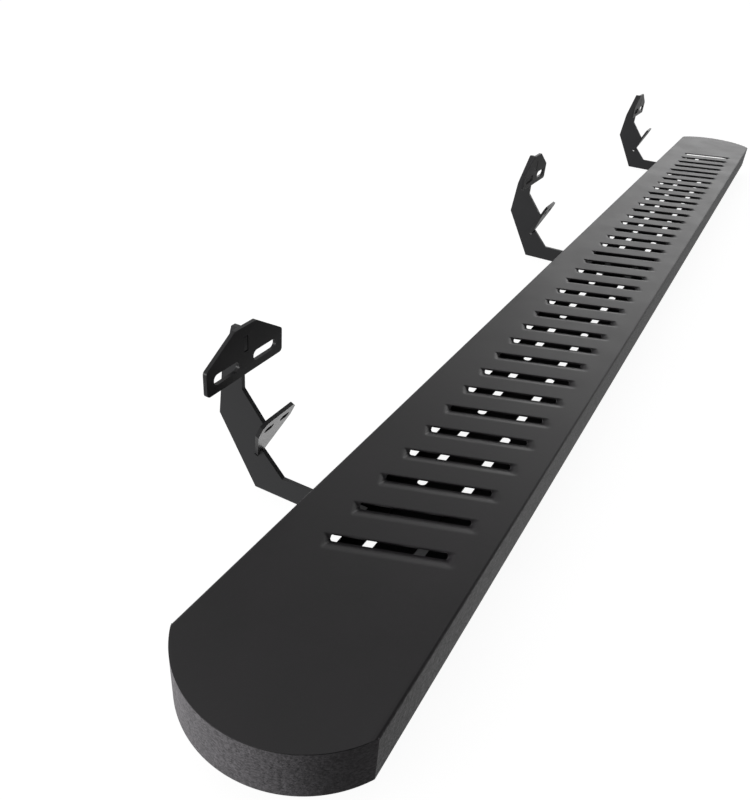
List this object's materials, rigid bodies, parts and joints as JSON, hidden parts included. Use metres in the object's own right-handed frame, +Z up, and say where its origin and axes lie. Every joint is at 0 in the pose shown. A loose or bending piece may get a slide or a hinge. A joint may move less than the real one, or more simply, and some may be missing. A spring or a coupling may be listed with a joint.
{
  "type": "running board",
  "caption": "Louvred steel running board with bowed ends, a slotted under tray and bolted arm brackets for one side of a truck.",
  "frame": {"origin": "under the middle of the whole part's footprint, on the surface that the three bracket arms stand on", "axes": "+X along the board to the vehicle's front, +Y from the board to the vehicle, +Z up"},
  "size_m": [2.0766, 0.3008, 0.1759],
  "materials": {
    "deck_powder_coat": "fine textured black powder coat, satin",
    "end_powder_coat": "coarse mottled black powder coat, matte",
    "tray_powder_coat": "thin black powder coat, matte",
    "bracket_powder_coat": "smooth black powder coat, satin",
    "zinc_fastener": "zinc plated steel, satin"
  },
  "bodies": {
    "root": {"deck_panel": "deck_powder_coat", "rear_end_wall": "end_powder_coat", "front_end_wall": "end_powder_coat", "under_tray": "tray_powder_coat", "rear_bracket_arm": "bracket_powder_coat", "rear_mount_plate": "bracket_powder_coat", "rear_tab_plate": "bracket_powder_coat", "rear_foot_flange": "bracket_powder_coat", "rear_outer_carriage_bolt": "zinc_fastener", "rear_outer_flat_washer": "zinc_fastener", "rear_outer_hex_nut": "zinc_fastener", "rear_inner_carriage_bolt": "zinc_fastener", "rear_inner_flat_washer": "zinc_fastener", "rear_inner_hex_nut": "zinc_fastener", "middle_bracket_arm": "bracket_powder_coat", "middle_mount_plate": "bracket_powder_coat", "middle_tab_plate": "bracket_powder_coat", "middle_foot_flange": "bracket_powder_coat", "middle_outer_carriage_bolt": "zinc_fastener", "middle_outer_flat_washer": "zinc_fastener", "middle_outer_hex_nut": "zinc_fastener", "middle_inner_carriage_bolt": "zinc_fastener", "middle_inner_flat_washer": "zinc_fastener", "middle_inner_hex_nut": "zinc_fastener", "front_bracket_arm": "bracket_powder_coat", "front_mount_plate": "bracket_powder_coat", "front_tab_plate": "bracket_powder_coat", "front_foot_flange": "bracket_powder_coat", "front_outer_carriage_bolt": "zinc_fastener", "front_outer_flat_washer": "zinc_fastener", "front_outer_hex_nut": "zinc_fastener", "front_inner_carriage_bolt": "zinc_fastener", "front_inner_flat_washer": "zinc_fastener", "front_inner_hex_nut": "zinc_fastener"}
  },
  "joints": []
}
